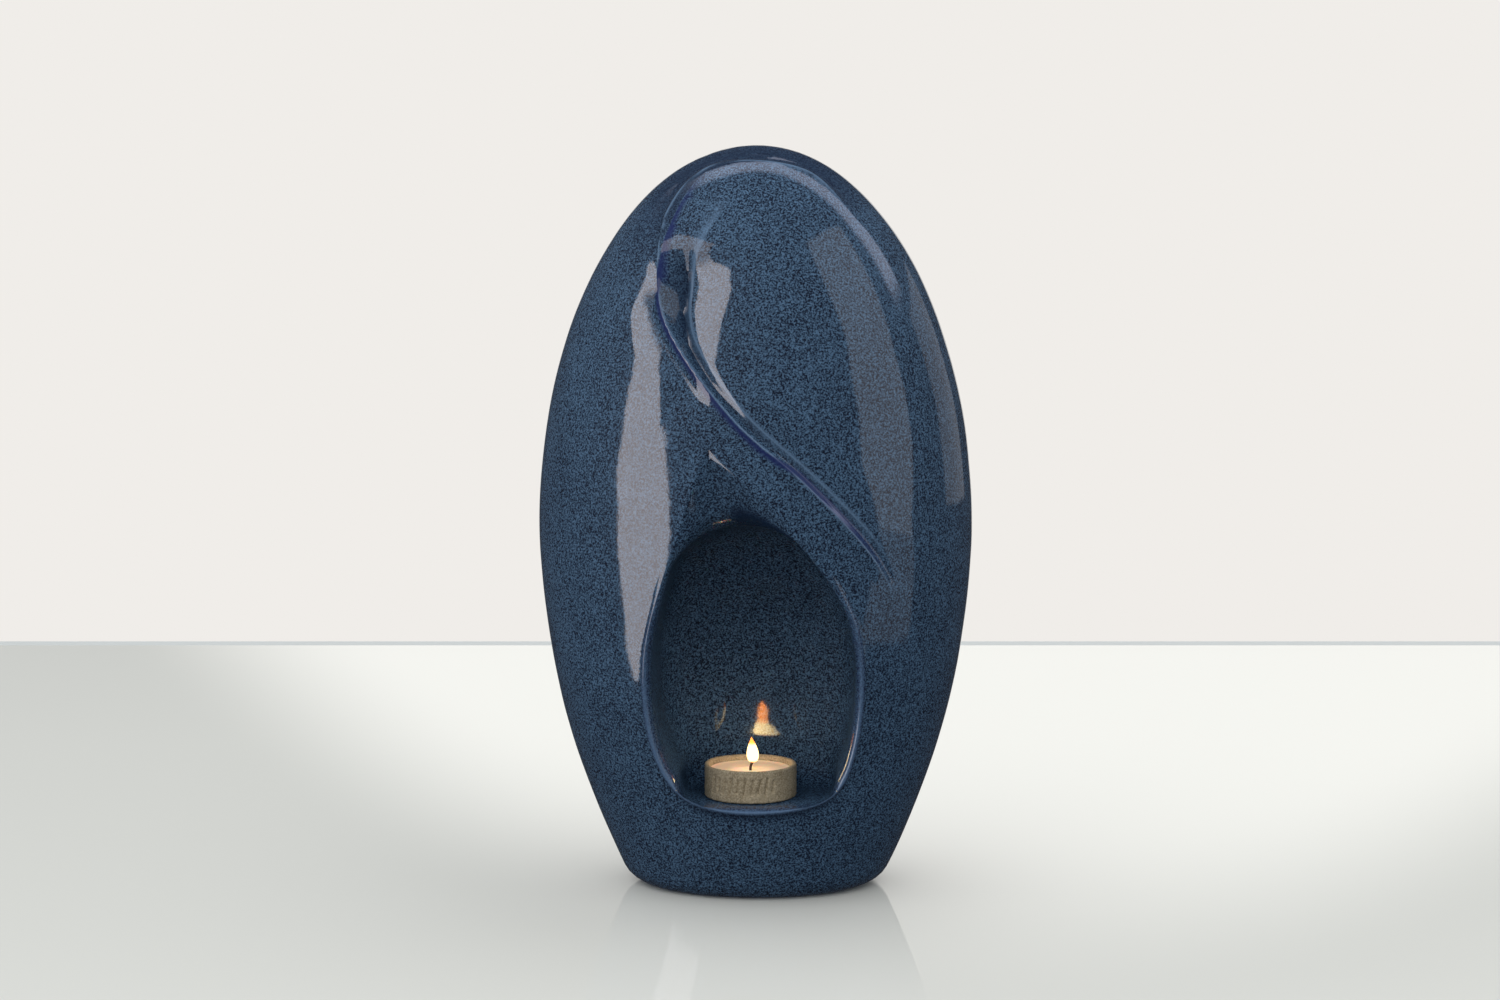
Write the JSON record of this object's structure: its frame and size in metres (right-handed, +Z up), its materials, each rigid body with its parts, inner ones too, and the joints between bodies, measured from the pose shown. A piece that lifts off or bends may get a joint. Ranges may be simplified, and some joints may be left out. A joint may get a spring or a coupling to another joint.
{
  "type": "funeral urn",
  "caption": "Egg-shaped glazed ceramic urn on an oval foot, carved with a looping swirl, with a teardrop niche in its front that holds a tealight.",
  "frame": {"origin": "on the table, under the middle of the urn's oval foot", "axes": "+Z up along the urn's height, +Y from the niche to the back so that the niche faces -Y, +X to the right of someone facing the niche"},
  "size_m": [0.18, 0.1359, 0.308],
  "materials": {
    "glaze": "glossy blue glaze with fine black speckles",
    "bung": "matt black",
    "stoneware": "unglazed, fine sandy grain",
    "wax": "satin candle wax",
    "wick": "charred cotton"
  },
  "bodies": {
    "root": {"urn_body": "glaze", "base_bung": "bung", "tealight_cup": "stoneware", "tealight_wax": "wax", "tealight_wick": "wick"}
  },
  "joints": []
}
